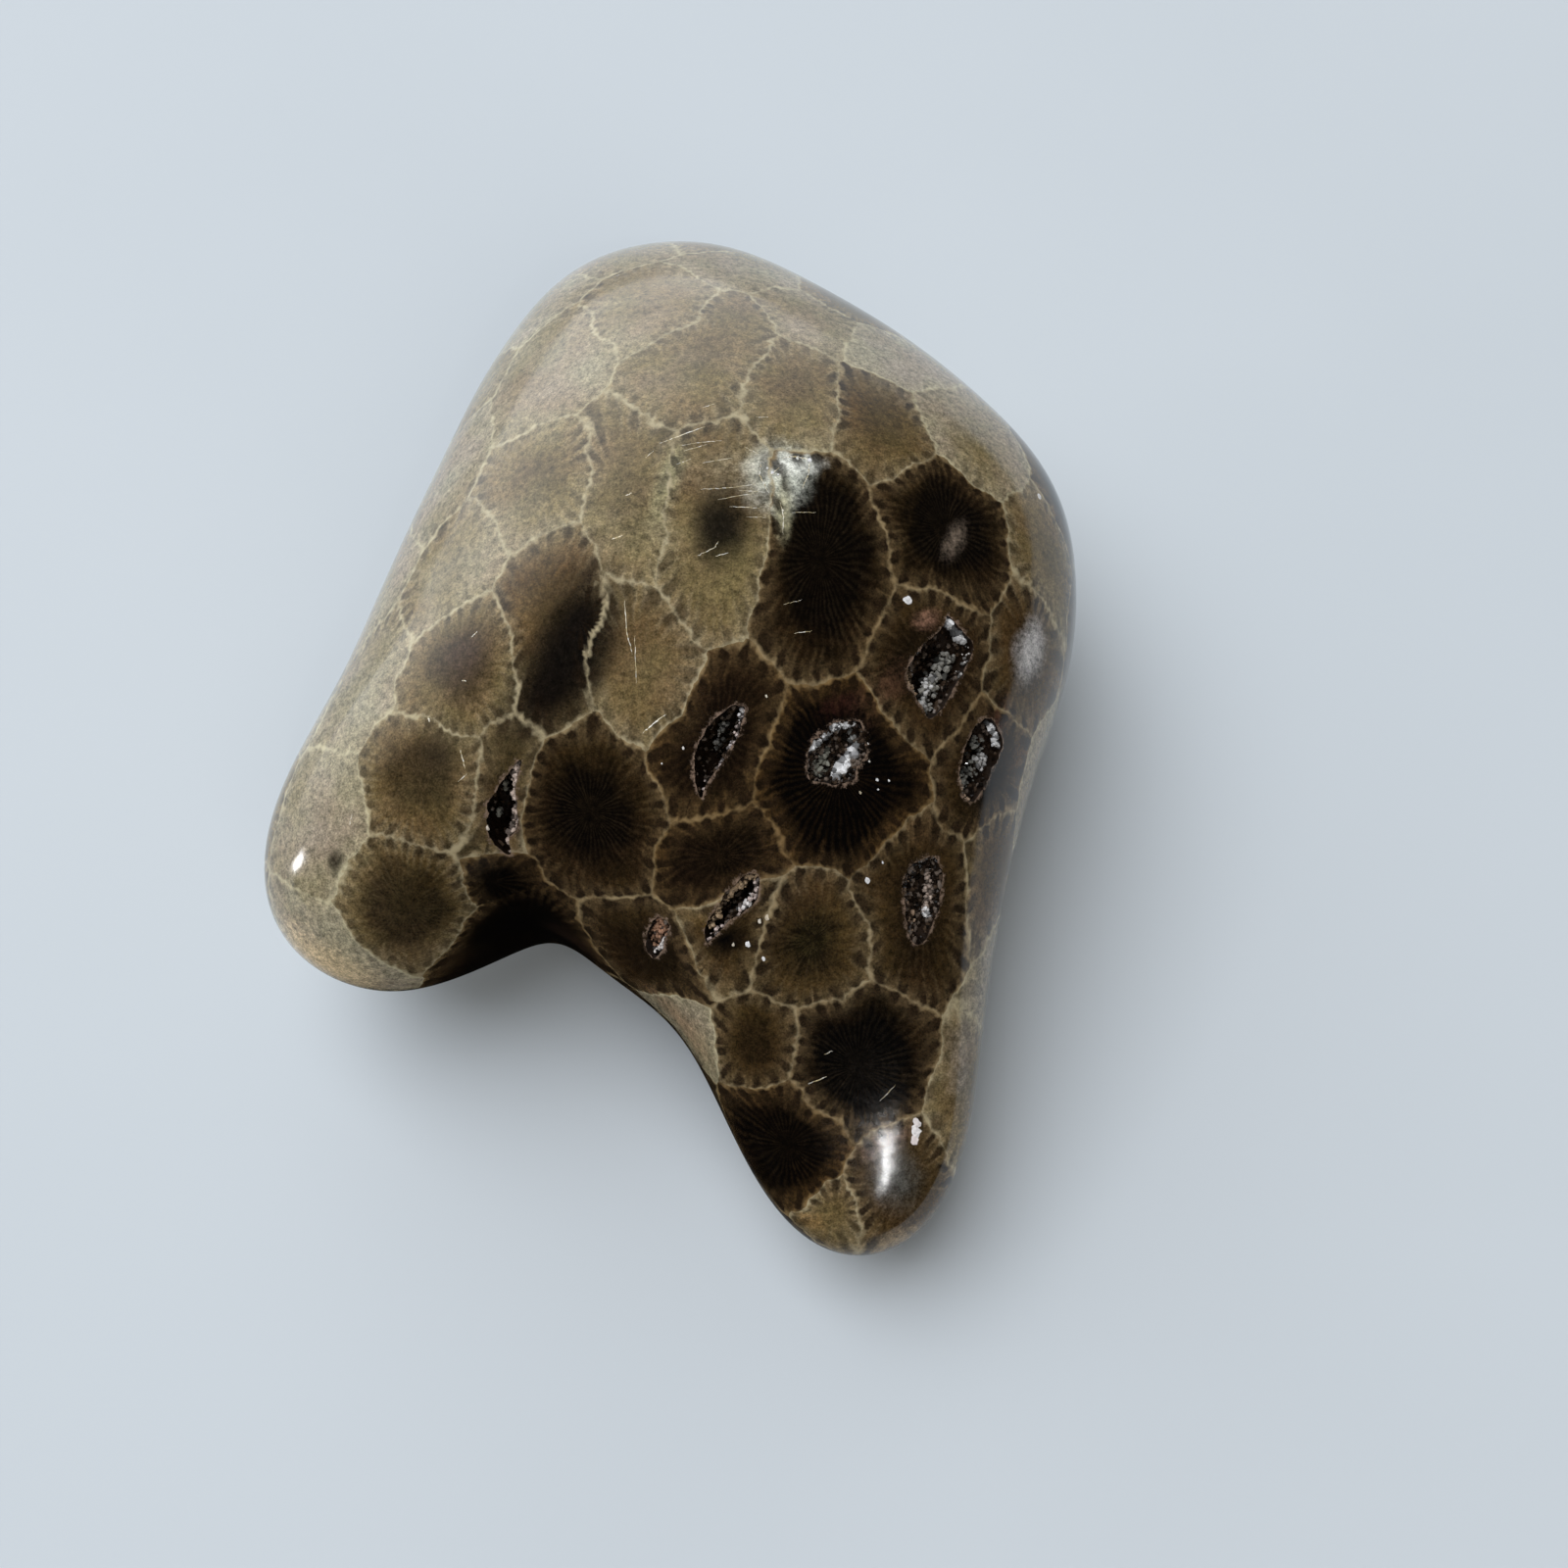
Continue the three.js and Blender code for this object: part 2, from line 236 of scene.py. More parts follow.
# Fine scratches that catch the light: width in mm, then points x, y in mm.
SCRATCHES = [
    (.08, [(1.0, 6.7), (2.0, 7.0), (3.2, 7.4)]), (.05, [(1.9, 6.4), (3.0, 6.5), (3.9, 6.5)]),
    (.06, [(3.2, 8.6), (3.8, 8.8)]), (.05, [(2.1, 6.1), (3.2, 6.35)]),
    (.05, [(2.7, 3.9), (4.0, 3.85), (5.2, 4.0)]), (.05, [(3.4, 3.3), (5.0, 3.5)]),
    (.05, [(3.9, 2.9), (5.3, 2.7)]), (.04, [(4.4, 3.7), (5.6, 3.55)]), (.04, [(4.6, 2.3), (5.6, 2.25)]),
    (.05, [(6.7, 2.5), (7.8, 2.5)]), (.06, [(5.6, 7.9), (6.2, 7.9)]), (.10, [(-1.6, 2.0), (-1.1, 2.1)]),
    (.08, [(-0.8, 4.1), (-0.5, 4.2)]), (.06, [(2.2, 0.6), (3.0, 0.9), (3.2, 1.2)]),
    (.05, [(3.0, 0.5), (3.6, 0.6)]), (.07, [(-1.3, -1.0), (-1.35, -2.4), (-1.2, -3.4)]),
    (.05, [(-1.0, -2.6), (-1.1, -3.6), (-1.2, -4.6)]), (.10, [(-1.2, -6.6), (-0.6, -6.35), (0.0, -6.1)]),
    (.10, [(-9.6, -5.9), (-9.5, -6.7)]), (.05, [(-9.45, -6.9), (-9.9, -7.15)]),
    (.13, [(-11.0, -4.1), (-10.95, -4.35)]), (.08, [(-8.6, -1.0), (-8.3, -0.8)]),
    (.10, [(-9.2, -2.9), (-9.0, -3.0)]), (.05, [(-15.5, -7.7), (-15.3, -7.3)]),
    (.07, [(4.2, -21.1), (5.1, -20.9)]), (.05, [(5.1, -20.0), (5.5, -19.9)]),
    (.04, [(7.4, -22.1), (8.2, -21.5)]), (.05, [(-1.0, 20.5), (-0.4, 20.7)]),
    (.05, [(0.3, 6.0), (0.7, 6.3)]), (.05, [(2.9, 5.3), (4.3, 5.5)]), (.04, [(1.7, 5.4), (2.4, 5.6)]),
    (.11, [(6.6, 5.45), (7.2, 5.55), (7.8, 5.42)]), (.07, [(7.85, 5.3), (7.72, 4.6), (7.35, 3.8)]),
    (.07, [(5.6, 5.3), (5.45, 4.5), (5.75, 3.5)]), (.05, [(6.2, 3.1), (6.3, 2.4), (6.15, 1.4)]),
    (.05, [(4.9, 6.1), (5.5, 5.7)]), (.05, [(5.9, 4.4), (6.4, 4.9)]), (.04, [(5.8, -1.9), (6.6, -1.7)]),
    (.05, [(6.1, -3.2), (6.9, -3.1)]),
]


def linear(hex_colour):
    """An sRGB hex colour as the linear colour that nodes and lights take."""
    parts = [int(hex_colour[i:i + 2], 16) / 255 for i in (1, 3, 5)]
    return tuple(c / 12.92 if c <= 0.04045 else ((c + 0.055) / 1.055) ** 2.4 for c in parts) + (1.0,)


def add_node(tree, kind, links=(), **settings):
    """Adds a node with its settings and fills its sockets, each with a plain
    value or from another node. A list fills the sockets in use in their order,
    a dict fills them by name. A node given whole stands for its first output."""
    made = tree.nodes.new("ShaderNode" + kind)
    for name, value in settings.items():
        setattr(made, name, value)
    if isinstance(links, dict):
        pairs = [(made.inputs[name], value) for name, value in links.items()]
    else:
        pairs = zip([socket for socket in made.inputs if socket.enabled], links)
    for socket, value in pairs:
        if isinstance(value, bpy.types.Node):
            value = next(output for output in value.outputs if output.enabled)
        if isinstance(value, bpy.types.NodeSocket):
            tree.links.new(value, socket)
        else:
            socket.default_value = value
    return made


def bare_material(name):
    """A new empty material, and the function that adds nodes to it."""
    material = bpy.data.materials.new(name)
    material.use_nodes = True
    material.node_tree.nodes.clear()
    return material, partial(add_node, material.node_tree)


def put_in_scene(name, data):
    """A new object for the data, in the scene."""
    made = bpy.data.objects.new(name, data)
    bpy.context.scene.collection.objects.link(made)
    return made


def facing(stands, way):
    """The placing of something at `stands` whose +Z looks along `way`."""
    return Matrix.Translation(stands) @ way.to_track_quat("Z", "Y").to_matrix().to_4x4()


# ---- camera, floor and light -----------------------------

def set_camera():
    """Close above the stone's near end, looking down and away at 65 degrees."""
    lens = bpy.data.cameras.new("camera")
    lens.lens = 34.4
    lens.sensor_width = 36
    lens.clip_start = 0.005
    camera = put_in_scene("camera", lens)
    camera.matrix_world = (
        Matrix.Translation(Vector((4.8, -37.5, 78.9)) * MM)
        @ Matrix.Rotation(radians(24.8), 4, "X")
        @ Matrix.Rotation(radians(-7.1), 4, "Z"))
    bpy.context.scene.camera = camera


def painted_board():
    """Matt white board: pale and slightly cool, with a very faint mottle 70 mm
    across."""
    material, add = bare_material("painted_board")
    place = add("TexCoord").outputs["Object"]
    mottle = add("TexNoise", {"Vector": place, "Scale": 14.0, "Detail": 3.0})
    tint = add("Mix", [mottle, linear("#CAD2D7"), linear("#D5DCE1")], **COLOURS)
    skin = add("BsdfPrincipled", {"Base Color": tint, "Roughness": 0.75})
    add("OutputMaterial", {"Surface": skin})
    return material


def flat_piece(name, corners, material, unseen_by=()):
    """A flat sheet with the given corners, in metres, that is studio only."""
    mesh = bpy.data.meshes.new(name)
    mesh.from_pydata([(x, y, 0) for x, y in corners], [], [tuple(range(len(corners)))])
    mesh.materials.append(material)
    sheet = put_in_scene(name, mesh)
    for ray in unseen_by:
        setattr(sheet, "visible_" + ray, False)
    return sheet


def disc(radius, sides):
    """The corners of a round sheet, in metres."""
    turns = [2 * pi * k / sides for k in range(sides)]
    return [(radius * cos(t), radius * sin(t)) for t in turns]


def lay_floor():
    """A wide round pale board under the stone."""
    flat_piece("floor", disc(1, 64), painted_board())


def black_velvet():
    """Black cloth cut as a wedge, thinning out towards its two long sides so
    that the polish shows no line."""
    material, add = bare_material("black_velvet")
    place = add("TexCoord").outputs["Object"]
    way = add("VectorMath", [place], operation="NORMALIZE")
    ahead = add("VectorMath", [way, (1.0, 0.0, 0.0)], **DOT)
    solid = add("MapRange", [ahead, cos(radians(50)), cos(radians(27))],
                **SOFT_ENDS)
    pile = add("BsdfPrincipled", {"Base Color": linear("#0B0A09"), "Roughness": 0.9})
    nothing = add("BsdfTransparent")
    cloth = add("MixShader", [solid, nothing, pile])
    add("OutputMaterial", {"Surface": cloth})
    return material


def black_felt():
    """Black felt: matt and near black all over."""
    material, add = bare_material("black_felt")
    pile = add("BsdfPrincipled", {"Base Color": linear("#0B0A09"), "Roughness": 0.9})
    add("OutputMaterial", {"Surface": pile})
    return material


def lay_black_card():
    """A dark wedge on the floor before the bay, as a studio uses one: only the
    polish sees it, so the bay and the leg's inner side keep their depth."""
    card = flat_piece("black_card", [(0, -1), (1, -1), (1, 1), (0, 1)], black_velvet(), [*UNSEEN, "shadow"])
    turned = Matrix.Rotation(radians(-118), 4, "Z")
    card.matrix_world = Matrix.Translation(Vector((-2, -2, 0.1)) * MM) @ turned


def hang_small_card():
    """A dark disc 10 mm across that keeps the lamp's glint off the saddle
    between the body and the leg. Only the polish sees it, and it casts a shadow."""
    card = flat_piece("small_card", disc(0.005, 24), black_felt(), UNSEEN)
    saddle = Vector((3.95, -12.6, 16.7)) * MM
    towards = Vector((0.15, -0.695, 0.703))
    card.matrix_world = facing(saddle + towards * 0.05, towards)


def hang_lamp(name, stands, looks_at, width, height, power, colour="#FFFFFF", mirrored=False):
    """A soft panel lamp at `stands`, facing `looks_at`, both in metres. The
    polish mirrors only the small lamps, so the wide ones leave no hard edge."""
    panel = bpy.data.lights.new(name, "AREA")
    panel.shape = "RECTANGLE"
    panel.size, panel.size_y = width, height
    panel.energy = power
    panel.color = linear(colour)[:3]
    lamp = put_in_scene(name, panel)
    lamp.visible_glossy = mirrored
    lamp.matrix_world = facing(Vector(stands), Vector(stands) - Vector(looks_at))


def light_the_room():
    """A pale room: bright beyond and left of the stone, dim overhead, with
    wide soft lamps above and two small ones that glint in the polish. Seen
    straight, its far walls are plain pale paper."""
    world = bpy.data.worlds.new("room")
    world.use_nodes = True
    bpy.context.scene.world = world
    world.node_tree.nodes.clear()
    add = partial(add_node, world.node_tree)
    place = add("TexCoord").outputs["Generated"]
    lit = add("VectorMath", [place, (-0.42, 0.90, 0.0)], **DOT)
    strength = add("MapRange", [lit, 0.30, 0.95, 0.02, 1.9], **SOFT_ENDS)
    glow = add("Background", {"Color": linear("#EEF3F8"), "Strength": strength})
    paper = add("Background", {"Color": linear("#D6DDE3"), "Strength": 1.0})
    seen = add("LightPath").outputs["Is Camera Ray"]
    room = add("MixShader", [seen, glow, paper])
    add("OutputWorld", {"Surface": room})
    middle = (0, 0, 0.01)
    hang_lamp("top_panel", (-0.35, 0.25, 1.1), middle, 1.1, 1.1, 12.0, "#F8FAFF")
    hang_lamp("near_panel", (0.3, -0.9, 0.8), middle, 0.8, 0.8, 3.6, "#FFFAF2")
    hang_lamp("window", (0.20, -0.80, 0.80), (0.0073, -0.0248, 0.010), 0.024, 0.020, 0.28, mirrored=True)
    hang_lamp("left_window", (-0.95, 0.02, 0.10), (-0.0186, -0.0085, 0.010), 0.05, 0.12, 0.6, mirrored=True)


# ---- the stone's shape -----------------------------------

def in_rows(data, field, wide=3, kind=np.float32):
    """One field of a mesh's points, faces or corners, as rows of numbers."""
    values = np.empty(len(data) * wide, kind)
    data.foreach_get(field, values)
    return values.reshape(-1, wide)


def mark(mesh, name, domain, values):
    """Gives every point or face a number, a direction or a colour of its own."""
    kinds = {1: ("FLOAT", "value"), 3: ("FLOAT_VECTOR", "vector"), 4: ("FLOAT_COLOR", "color")}
    kind, part = kinds[values.shape[1]]
    mesh.attributes.new(name, kind, domain).data.foreach_set(part, values.astype(np.float32).ravel())


def split_triangles(points, faces):
    """Cuts every triangle into four at the middles of its edges."""
    edges = np.sort(np.concatenate([faces[:, [0, 1]], faces[:, [1, 2]], faces[:, [2, 0]]]), axis=1)
    unique, which = np.unique(edges, axis=0, return_inverse=True)
    which = which.reshape(3, -1).T + len(points)
    points = np.concatenate([points, points[unique].mean(axis=1)])
    a, b, c = faces.T
    ab, bc, ca = which.T
    faces = np.concatenate([np.stack(t, 1) for t in ((a, ab, ca), (ab, b, bc), (ca, bc, c), (ab, bc, ca))])
    return points, faces


def tumble(points, faces, rounds):
    """Rounds off the facets without shrinking the stone."""
    ends = np.concatenate([faces[:, [0, 1]], faces[:, [1, 2]], faces[:, [2, 0]]])
    ends = np.unique(np.concatenate([ends, ends[:, ::-1]]), axis=0)
    share = np.bincount(ends[:, 0], minlength=len(points))[:, None]
    for turn in range(rounds):
        around = np.stack([np.bincount(ends[:, 0], points[ends[:, 1], k], len(points)) for k in range(3)], 1)
        points = points + (0.6 if turn % 2 == 0 else -0.61) * (around / share - points)
    return points


def worked_skin():
    """The solid's own skin, cut finer twice and polished smooth."""
    source = rough_stone.data
    points = in_rows(source.vertices, "co").astype(float)
    faces = in_rows(source.loops, "vertex_index", 1, np.int32).reshape(-1, 3)
    _, first, same = np.unique(np.round(points / MM, 4), axis=0, return_index=True, return_inverse=True)
    points, faces = points[first], same.reshape(-1)[faces]
    for rounds in (8, 12):
        points, faces = split_triangles(points, faces)
        points = tumble(points, faces, rounds)
        points[:, 2] = np.maximum(points[:, 2], 0.0)
    return points, faces


def mesh_object(name, points, faces, materials):
    """A smooth-shaded piece with the given points, faces and materials."""
    mesh = bpy.data.meshes.new(name)
    mesh.from_pydata([tuple(p) for p in points], [], [tuple(int(i) for i in f) for f in faces])
    for material in materials:
        mesh.materials.append(material)
    mesh.polygons.foreach_set("use_smooth", [True] * len(mesh.polygons))
    return put_in_scene(name, mesh)


def on_top(tree, x, y, level=10):
    """The point of the upper face over x, y in millimetres, and its normal.
    Beyond the stone's edge it is the nearest point of the side, `level` up."""
    hit, normal, _, _ = tree.ray_cast(Vector((x * MM, y * MM, 0.05)), Vector((0, 0, -1)))
    if hit is None:
        hit, normal, _, _ = tree.find_nearest(Vector((x, y, level)) * MM)
    return hit, normal


def across(normal, degrees):
    """Unit direction in the skin that points `degrees` round from +X."""
    way = Vector((cos(radians(degrees)), sin(radians(degrees)), 0))
    way -= normal * way.dot(normal)
    return way.normalized()


def smooth_ring(outline, count):
    """A closed smooth run through the outline, anticlockwise and evenly spaced."""
    steps = []
    n = len(outline)
    area = sum(outline[i - 1][0] * outline[i][1] - outline[i][0] * outline[i - 1][1] for i in range(n))
    outline = outline if area > 0 else outline[::-1]
    for i in range(n):
        a, b, c, d = (np.array(outline[(i + k - 1) % n]) for k in range(4))
        for t in np.linspace(0, 1, 24, endpoint=False):
            steps.append(0.5 * ((2 * b) + (c - a) * t + (2 * a - 5 * b + 4 * c - d) * t ** 2
                                + (3 * b - a - 3 * c + d) * t ** 3))
    steps = np.array(steps + [steps[0]])
    way = np.concatenate([[0], np.cumsum(np.linalg.norm(np.diff(steps, axis=0), axis=1))])
    even = np.linspace(0, way[-1], count, endpoint=False)
    return np.stack([np.interp(even, way, steps[:, k]) for k in range(2)], axis=1)


RIM_POINTS = 84        # points round each hollow's rim
WALL_RINGS = 14        # rows of points from the rim down to the floor


def hollow_skin(tree, depth, outline):
    """The lump that one hollow is cut with: its rim follows the outline and
    its walls close in below, ragged as a broken void is."""
    rim = smooth_ring(outline, RIM_POINTS)
    middle = rim.mean(axis=0)
    _, normal = on_top(tree, *middle)
    feet = [on_top(tree, x, y)[0] for x, y in rim]
    heart = sum(feet, Vector()) / RIM_POINTS
    points = [heart + normal * 0.9 * MM]
    for ring in range(WALL_RINGS + 1):
        sunk = ring / WALL_RINGS
        for foot in feet:
            out = foot - heart
            if ring == 0:
                points.append(heart + out * 1.04 + normal * 0.45 * MM)
                continue
            turn = sunk * pi / 2
            spot = heart + out * cos(turn) ** 0.7 - normal * sin(turn) * depth * MM
            rag = noise.noise(foot / MM * 1.7 + Vector((0, 0, sunk * 2))) * 0.16
            rag += noise.noise(foot / MM * 5.0 + Vector((0, 0, sunk * 5))) * 0.09
            points.append(spot + out.normalized() * rag * MM * (1.2 - sunk))
    points.append(heart - normal * depth * 1.04 * MM)
    faces = []
    for j in range(RIM_POINTS):
        k = (j + 1) % RIM_POINTS
        faces.append((0, 1 + j, 1 + k))
        for ring in range(WALL_RINGS):
            here, below = 1 + ring * RIM_POINTS, 1 + (ring + 1) * RIM_POINTS
            faces += [(here + j, below + j, here + k), (here + k, below + j, below + k)]
        base = 1 + WALL_RINGS * RIM_POINTS
        faces.append((base + k, base + j, len(points) - 1))
    return points, faces


# ---- the coral cups --------------------------------------

CUP_SPACING = 5.3      # mm between the middles of hidden cups
TRIED = 7              # every seventh point of the skin may be a middle
BATCH = 20000          # faces worked out at a time
FAR = 99               # mm, beyond any cup
NEAR = 5               # mm from a hollow's middle in which its rim is looked for
NO_HOLLOW = 9.0        # mm, stands for no hollow near
RIM_MARKS = 60         # points of a rim that distances are taken to
STAIN_DEPTH = 4        # mm that a stain reaches below and above its middle


def hidden_cups(points, centres, seed=7):
    """Which points of the skin carry the cups of the sides and the underside,
    spaced as corals crowd."""
    rng = random.Random(seed)
    order = list(range(0, len(points), TRIED))
    rng.shuffle(order)
    chosen = [np.array(c) for c in centres]
    made = []
    for i in order:
        spot = points[i]
        gaps = np.linalg.norm(np.array(chosen) - spot, axis=1)
        if gaps.min() > CUP_SPACING * MM:
            chosen.append(spot)
            made.append(i)
    return made


def cup_table(tree, points, normals):
    """Every cup as a row of its middle (mm), drawn-out way, half width, brown,
    black, lean and reach, and the cup that each row belongs to."""
    rng = random.Random(11)
    rows, owner = [], []

    # On the steep sides a cup is drawn out level.
    def enter(spot, normal, turn, ratio, half, brown, black, far, lean_turn=0, lean=0, cup=None):
        way = across(normal, turn) if abs(normal.z) > 0.2 else normal.cross(Vector((0, 0, 1))).normalized()
        drawn = way * sqrt(max(0.01, 1 - 1 / ratio ** 2))
        leaning = across(normal, lean_turn) * lean if lean else Vector((0, 0, 0))
        rows.append((*(spot / MM), *drawn, half, brown, black, *leaning, far))
        owner.append(len(rows) - 1 if cup is None else cup)

    for x, y, half, turn, ratio, *traits in CUPS:
        spot, normal = on_top(tree, x, y)
        enter(spot, normal, turn, ratio, half, *traits)
    for x, y, half, cup, level in LOBES:
        spot, normal = on_top(tree, x, y, level)
        enter(spot, normal, 0, 1.0, half, *CUPS[cup][5:], cup=cup)
    taken = np.array([row[:3] for row in rows]) * MM
    for i in hidden_cups(points, taken):
        spot, normal = Vector(points[i]), Vector(normals[i])
        ratio = rng.uniform(1.02, 1.5)
        # Browner underneath, towards the leg and towards the right.
        under = min(1.0, max(0.0, (12 - spot.z / MM) / 8))
        side = min(1.0, max(0.0, 0.5 + (spot.x - 1.6 * spot.y) / MM / 50))
        brown = min(0.95, max(0.05, 0.10 + 0.5 * side + 0.15 * under + rng.uniform(-0.2, 0.2)))
        enter(spot, normal, rng.uniform(0, 180), ratio, rng.uniform(2.4, 3.0), brown,
              min(1.0, max(0.0, brown * rng.uniform(0.4, 2.4) - 0.1)), rng.uniform(0.35, 0.7),
              rng.uniform(0, 360), rng.uniform(0, 0.3) if abs(normal.z) > 0.2 else 0)
    return np.array(rows), np.array(owner)


def mark_cups(mesh, rows, owner):
    """Tells each face which three cups are nearest, for the material to draw."""
    centre = in_rows(mesh.polygons, "center") / MM
    nearest = np.empty((len(centre), 3), int)
    for start in range(0, len(centre), BATCH):
        v = centre[start:start + BATCH, None, :] - rows[None, :, :3]
        along = (v * rows[None, :, 3:6]).sum(2)
        gap = np.sqrt(np.maximum(0, (v ** 2).sum(2) - along ** 2)) - rows[None, :, 6]
        for rank in range(3):
            pick = gap.argmin(axis=1)
            nearest[start:start + BATCH, rank] = pick
            gap[owner[None, :] == owner[pick][:, None]] = FAR
    for rank, letter in enumerate("abc"):
        traits = rows[nearest[:, rank]]
        # Three columns make a direction or a kind; reach, the last one, stands alone.
        for name, first in (("middle_", 0), ("drawn_", 3), ("kind_", 6), ("lean_", 9), ("reach_", 12)):
            mark(mesh, name + letter, "FACE", traits[:, first:first + 3])


def mark_hollows(mesh, tree):
    """Straight distance in mm from each point to the nearest hollow's rim."""
    points = in_rows(mesh.vertices, "co") / MM
    best = np.full(len(points), NO_HOLLOW)
    for _, _, outline in HOLLOWS:
        rim = np.array([on_top(tree, x, y)[0] for x, y in smooth_ring(outline, RIM_MARKS)]) / MM
        near = np.linalg.norm(points - rim.mean(axis=0), axis=1) < NEAR
        gap = np.linalg.norm(points[near][:, None] - rim[None], axis=2).min(axis=1)
        best[near] = np.minimum(best[near], gap)
    mark(mesh, "to_hollow", "POINT", best[:, None])


def mark_stains_and_reflections(mesh, tree):
    """Lays the stains and the painted reflections over one another as a tint and how much of it covers."""
    points = in_rows(mesh.vertices, "co") / MM
    tint, cover = np.zeros((len(points), 3)), np.zeros(len(points))
    for x, y, long_, wide, turn, colour, strength in STAINS_AND_REFLECTIONS:
        heart, normal = on_top(tree, x, y)
        along = across(normal, turn)
        v = points - np.array(heart) / MM
        a = v @ np.array(along) / long_
        b = v @ np.array(normal.cross(along)) / wide
        c = v @ np.array(normal) / STAIN_DEPTH
        here = strength * np.clip(1.25 - np.sqrt(a * a + b * b + c * c), 0, 1)
        tint = tint * (1 - here[:, None]) + np.array(linear(colour)[:3]) * here[:, None]
        cover = cover + here - cover * here
    plain = tint / np.maximum(cover, 1e-4)[:, None]
    mark(mesh, "stain_and_reflection", "POINT", np.column_stack([plain, cover]))


# ---- materials -------------------------------------------

def nearest_cup(add, spot):
    """The traits of the cup that a spot belongs to, how far the spot is outside
    the cup's half width, and how far it is from the wall, all in mm."""
    cups, gap = {}, {}
    for letter in "abc":
        cup = {name: add("Attribute", attribute_name=name + "_" + letter).outputs["Vector"]
               for name in ("middle", "drawn", "kind", "lean")}
        cup["reach"] = add("Attribute", attribute_name="reach_" + letter).outputs["Fac"]
        cup["from"] = add("VectorMath", [spot, cup["middle"]], **MINUS)
        square = add("VectorMath", [cup["from"], cup["from"]], **DOT)
        along = add("VectorMath", [cup["from"], cup["drawn"]], **DOT)
        along = add("Math", [along, along], **TIMES)
        left = add("Math", [square, along], **MINUS)
        left = add("Math", [left, 0.0001], operation="MAXIMUM")
        root = add("Math", [left], operation="SQRT")
        half = add("SeparateXYZ", [cup["kind"]])
        gap[letter] = add("Math", [root, half], **MINUS)
        cups[letter] = cup

    # The nearest wins; half the lead over the second is the way to the wall.
    b_wins = add("Math", [gap["b"], gap["a"]], operation="LESS_THAN")
    low_ab = add("Math", [gap["a"], gap["b"]], operation="MINIMUM")
    high_ab = add("Math", [gap["a"], gap["b"]], operation="MAXIMUM")
    c_wins = add("Math", [gap["c"], low_ab], operation="LESS_THAN")
    low = add("Math", [low_ab, gap["c"]], operation="MINIMUM")
    rest = add("Math", [low_ab, gap["c"]], operation="MAXIMUM")
    second = add("Math", [rest, high_ab], operation="MINIMUM")
    lead = add("Math", [second, low], **MINUS)
    wall_way = add("Math", [lead, 0.5], **TIMES)
    own = {}
    for name in ("from", "middle", "drawn", "kind", "lean", "reach"):
        kind = "FLOAT" if name == "reach" else "VECTOR"
        pair = add("Mix", [b_wins, cups["a"][name], cups["b"][name]], data_type=kind)
        own[name] = add("Mix", [c_wins, pair, cups["c"][name]], data_type=kind)
    return own, low, wall_way


